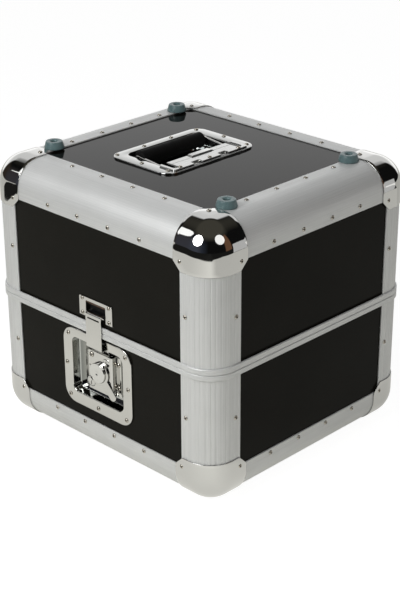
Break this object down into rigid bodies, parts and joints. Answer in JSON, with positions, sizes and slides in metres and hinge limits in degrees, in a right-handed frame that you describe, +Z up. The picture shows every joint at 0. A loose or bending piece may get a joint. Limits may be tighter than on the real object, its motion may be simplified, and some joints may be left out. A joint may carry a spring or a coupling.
{
  "type": "vinyl record flight case",
  "caption": "Lift-top carrying case for twelve-inch records with rounded aluminium edges, ball corners, a recessed turn latch and a recessed sprung handle.",
  "frame": {"origin": "centre of the case's footprint, on the plane that its bottom corners stand on", "axes": "+X along the latch side to the right of someone facing the latch, -Y out of the latch side, +Z up through the lid"},
  "size_m": [0.3894, 0.3716, 0.3635],
  "materials": {
    "black_laminate": "glossy black laminate on plywood",
    "chromed_steel": "bright chromed pressed steel",
    "satin_aluminium": "satin extruded aluminium with fine flutes",
    "plated_steel": "nickel plated pressed steel",
    "grey_felt": "dark felt over foam",
    "grey_rubber": "matt blue-grey rubber",
    "black_rubber": "matt black rubber",
    "spring_steel": "coiled spring wire"
  },
  "bodies": {
    "base": {"base_panel_floor": "black_laminate", "base_panel_front": "black_laminate", "base_panel_back": "black_laminate", "base_panel_left": "black_laminate", "base_panel_right": "black_laminate", "base_edge_front": "satin_aluminium", "base_edge_back": "satin_aluminium", "base_edge_left": "satin_aluminium", "base_edge_right": "satin_aluminium", "base_upright_front_left": "satin_aluminium", "base_upright_front_right": "satin_aluminium", "base_upright_back_left": "satin_aluminium", "base_upright_back_right": "satin_aluminium", "base_corner_front_left": "chromed_steel", "base_corner_front_right": "chromed_steel", "base_corner_back_left": "chromed_steel", "base_corner_back_right": "chromed_steel", "base_band": "satin_aluminium", "base_lining": "grey_felt", "latch_dish": "plated_steel", "latch_bracket": "plated_steel", "hinge_leaf_base_left": "plated_steel", "hinge_leaf_base_right": "plated_steel"},
    "lid": {"lid_panel_top": "black_laminate", "lid_panel_front": "black_laminate", "lid_panel_back": "black_laminate", "lid_panel_left": "black_laminate", "lid_panel_right": "black_laminate", "lid_edge_front": "satin_aluminium", "lid_edge_back": "satin_aluminium", "lid_edge_left": "satin_aluminium", "lid_edge_right": "satin_aluminium", "lid_upright_front_left": "satin_aluminium", "lid_upright_front_right": "satin_aluminium", "lid_upright_back_left": "satin_aluminium", "lid_upright_back_right": "satin_aluminium", "lid_corner_front_left": "chromed_steel", "lid_corner_front_right": "chromed_steel", "lid_corner_back_left": "chromed_steel", "lid_corner_back_right": "chromed_steel", "lid_band": "satin_aluminium", "lid_lining": "grey_felt", "foot_front_left": "grey_rubber", "foot_front_right": "grey_rubber", "foot_back_left": "grey_rubber", "foot_back_right": "grey_rubber", "latch_keeper": "plated_steel", "handle_dish": "plated_steel", "handle_hinge_plate": "plated_steel", "handle_spring_front": "spring_steel", "handle_spring_back": "spring_steel", "hinge_leaf_lid_left": "plated_steel", "hinge_leaf_lid_right": "plated_steel"},
    "handle": {"handle_bail": "plated_steel", "handle_grip": "black_rubber"},
    "latch_turner": {"latch_disc": "plated_steel"},
    "latch_wing_body": {"latch_wing": "plated_steel"},
    "latch_slide_body": {"latch_slide": "plated_steel"},
    "latch_hook_body": {"latch_hook": "plated_steel"}
  },
  "joints": [
    {"name": "lid_hinge", "type": "hinge", "parent": "base", "child": "lid", "pos_m": [0, 0.1839, 0.1753], "axis": [-1, 0, 0], "range_deg": [0, 100]},
    {"name": "handle_hinge", "type": "hinge", "parent": "lid", "child": "handle", "pos_m": [0.014, -0.003, 0.3453], "axis": [0, 1, 0], "range_deg": [0, 90], "stiffness_Nm_per_rad": 0.1, "springref_deg": -34.38},
    {"name": "latch_turn", "type": "hinge", "parent": "base", "child": "latch_turner", "pos_m": [0, -0.1785, 0.1183], "axis": [0, -1, 0], "range_deg": [0, 90]},
    {"name": "wing_fold", "type": "hinge", "parent": "latch_turner", "child": "latch_wing_body", "pos_m": [0, -0.1787, 0.1183], "axis": [-0.7071, 0, -0.7071], "range_deg": [0, 90]},
    {"name": "latch_lift", "type": "slide", "parent": "base", "child": "latch_slide_body", "axis": [0, 0, 1], "range_m": [0, 0.00848]},
    {"name": "hook_swing", "type": "hinge", "parent": "latch_slide_body", "child": "latch_hook_body", "pos_m": [0, -0.1705, 0.1403], "axis": [1, 0, 0], "range_deg": [0, 35]}
  ],
  "couplings": [
    {"joint": "latch_turn", "follows": "latch_lift", "rad_per_m": 185.12}
  ]
}
